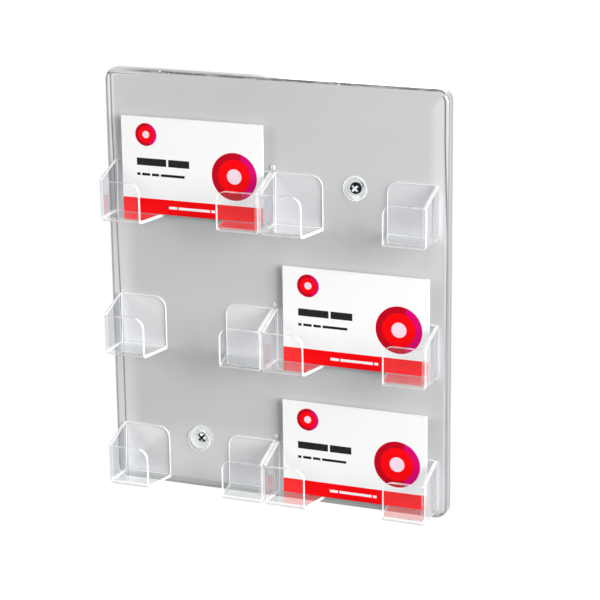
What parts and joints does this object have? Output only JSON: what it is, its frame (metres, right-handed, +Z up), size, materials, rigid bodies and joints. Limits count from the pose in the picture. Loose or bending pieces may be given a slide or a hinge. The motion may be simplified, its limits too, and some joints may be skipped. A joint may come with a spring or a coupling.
{
  "type": "wall business card holder",
  "caption": "Wall-mounted clear panel with rows of open corner cups that hold stacks of business cards upright; the cards tip forward and lift out.",
  "frame": {"origin": "in the wall plane, at the centre of the panel", "axes": "+X to the right seen from the front, +Z up, -Y out of the wall towards the viewer"},
  "size_m": [0.202, 0.041, 0.2426],
  "materials": {
    "panel_plastic": "gloss, light grey translucent",
    "cup_plastic": "gloss, clear",
    "screw_steel": "blackened, semi-gloss",
    "card_print": "printed coated paper, semi-matt"
  },
  "bodies": {
    "root": {"panel": "panel_plastic", "cup_bottom_left_outer": "cup_plastic", "cup_bottom_left_inner": "cup_plastic", "cup_middle_left_outer": "cup_plastic", "cup_middle_left_inner": "cup_plastic", "cup_top_left_outer": "cup_plastic", "cup_top_left_inner": "cup_plastic", "cup_bottom_right_outer": "cup_plastic", "cup_bottom_right_inner": "cup_plastic", "cup_middle_right_outer": "cup_plastic", "cup_middle_right_inner": "cup_plastic", "cup_top_right_outer": "cup_plastic", "cup_top_right_inner": "cup_plastic", "divider_stud_bottom": "cup_plastic", "divider_stud_middle": "cup_plastic", "divider_stud_top": "cup_plastic", "wall_screw_top_left": "screw_steel", "wall_screw_bottom_left": "screw_steel", "wall_screw_top_right": "screw_steel", "wall_screw_bottom_right": "screw_steel"},
    "card_stack_top_left": {"card_top_left_2": "card_print", "card_top_left_3": "card_print"},
    "front_card_top_left": {"card_top_left_1": "card_print"},
    "card_stack_middle_right": {"card_middle_right_2": "card_print", "card_middle_right_3": "card_print"},
    "front_card_middle_right": {"card_middle_right_1": "card_print"},
    "card_stack_bottom_right": {"card_bottom_right_2": "card_print", "card_bottom_right_3": "card_print"},
    "front_card_bottom_right": {"card_bottom_right_1": "card_print"}
  },
  "joints": [
    {"name": "stack_tilt_top_left", "type": "hinge", "parent": "root", "child": "card_stack_top_left", "pos_m": [0, -0.0109, 0.04075], "axis": [1, 0, 0], "range_deg": [0, 34]},
    {"name": "front_card_lift_top_left", "type": "slide", "parent": "card_stack_top_left", "child": "front_card_top_left", "axis": [0, 0, 1], "range_m": [0, 0.04]},
    {"name": "stack_tilt_middle_right", "type": "hinge", "parent": "root", "child": "card_stack_middle_right", "pos_m": [0, -0.0109, -0.03735], "axis": [1, 0, 0], "range_deg": [0, 34]},
    {"name": "front_card_lift_middle_right", "type": "slide", "parent": "card_stack_middle_right", "child": "front_card_middle_right", "axis": [0, 0, 1], "range_m": [0, 0.02]},
    {"name": "stack_tilt_bottom_right", "type": "hinge", "parent": "root", "child": "card_stack_bottom_right", "pos_m": [0, -0.0109, -0.11545], "axis": [1, 0, 0], "range_deg": [0, 34]},
    {"name": "front_card_lift_bottom_right", "type": "slide", "parent": "card_stack_bottom_right", "child": "front_card_bottom_right", "axis": [0, 0, 1], "range_m": [0, 0.02]}
  ]
}
